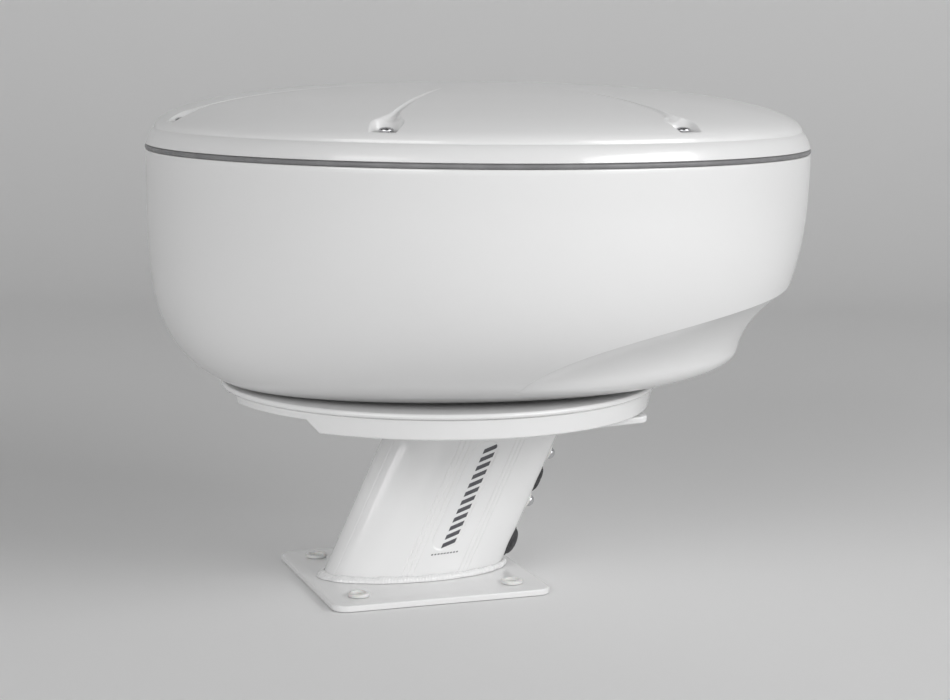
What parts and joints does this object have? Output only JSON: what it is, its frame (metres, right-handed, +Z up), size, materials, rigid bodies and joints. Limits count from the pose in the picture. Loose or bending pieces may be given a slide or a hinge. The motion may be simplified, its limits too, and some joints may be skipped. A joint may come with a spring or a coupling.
{
  "type": "radar dome antenna",
  "caption": "Closed-dome marine radar scanner on a levelling platform and a raked oval deck tower, with a turning antenna array, gear drive and lift-off cover inside.",
  "frame": {"origin": "on the antenna's turning axis, at the deck under the base plate", "axes": "+Z up along the antenna's turning axis; -Y towards the bow, +Y towards the stern; +X to port"},
  "size_m": [0.5212, 0.5212, 0.396],
  "materials": {
    "gel_coat": "gloss",
    "white_paint": "gloss",
    "cast_aluminium": "satin",
    "stainless": "polished",
    "black_rubber": "matte",
    "grey_rubber": "matte",
    "nylon": "satin",
    "dark_strip": "satin",
    "circuit_green": "satin",
    "brass": "satin",
    "black_plastic": "satin",
    "gear_nylon": "satin"
  },
  "bodies": {
    "base": {"base_shell": "gel_coat", "base_plate": "white_paint", "tower_tube": "white_paint", "weld_bead": "white_paint", "tower_top_plate": "white_paint", "mounting_plate": "white_paint", "platform_skirt": "white_paint", "scanner_chassis": "cast_aluminium", "motor_mount": "cast_aluminium", "heat_sink": "cast_aluminium", "chassis_screw_1": "stainless", "chassis_screw_2": "stainless", "chassis_screw_3": "stainless", "chassis_screw_4": "stainless", "radome_bolt_1": "stainless", "radome_bolt_2": "stainless", "radome_bolt_3": "stainless", "radome_bolt_4": "stainless", "wedge_bolt_1": "stainless", "wedge_bolt_2": "stainless", "wedge_bolt_3": "stainless", "wedge_bolt_4": "stainless", "front_bolt": "stainless", "seal_screw_1": "stainless", "seal_screw_2": "stainless", "upper_bearing": "stainless", "lower_bearing": "stainless", "transceiver_can": "stainless", "upper_cable_seal": "black_rubber", "lower_cable_seal": "black_rubber", "cover_gasket": "grey_rubber", "deck_bush_1": "nylon", "deck_bush_2": "nylon", "deck_bush_3": "nylon", "deck_bush_4": "nylon", "levelling_wedge": "nylon", "seal_washer_1": "nylon", "seal_washer_2": "nylon", "name_strip": "dark_strip", "main_board": "circuit_green", "power_board": "circuit_green", "drive_motor": "black_plastic", "cable_gland": "black_plastic", "gland_nut": "black_plastic", "power_connector": "black_plastic"},
    "scanner": {"antenna_spindle": "stainless", "driven_gear": "gear_nylon", "array_bracket": "cast_aluminium", "array_housing": "cast_aluminium", "patch_board": "circuit_green"},
    "pinion": {"motor_pinion": "brass", "motor_shaft": "stainless"},
    "cover": {"top_cover": "gel_coat", "cover_screw_1": "stainless", "cover_screw_2": "stainless", "cover_screw_3": "stainless", "cover_screw_4": "stainless", "cover_screw_5": "stainless", "cover_screw_6": "stainless", "cover_screw_7": "stainless"}
  },
  "joints": [
    {"name": "antenna_spin", "type": "hinge", "parent": "base", "child": "scanner", "pos_m": [0, 0, 0.28], "axis": [0, 0, 1], "continuous": true},
    {"name": "pinion_spin", "type": "hinge", "parent": "base", "child": "pinion", "pos_m": [0.048, 0, 0.265], "axis": [0, 0, 1], "continuous": true},
    {"name": "cover_lift", "type": "slide", "parent": "base", "child": "cover", "axis": [0, 0, 1], "range_m": [0, 0.2]}
  ],
  "couplings": [
    {"joint": "pinion_spin", "follows": "antenna_spin", "ratio": -4}
  ]
}
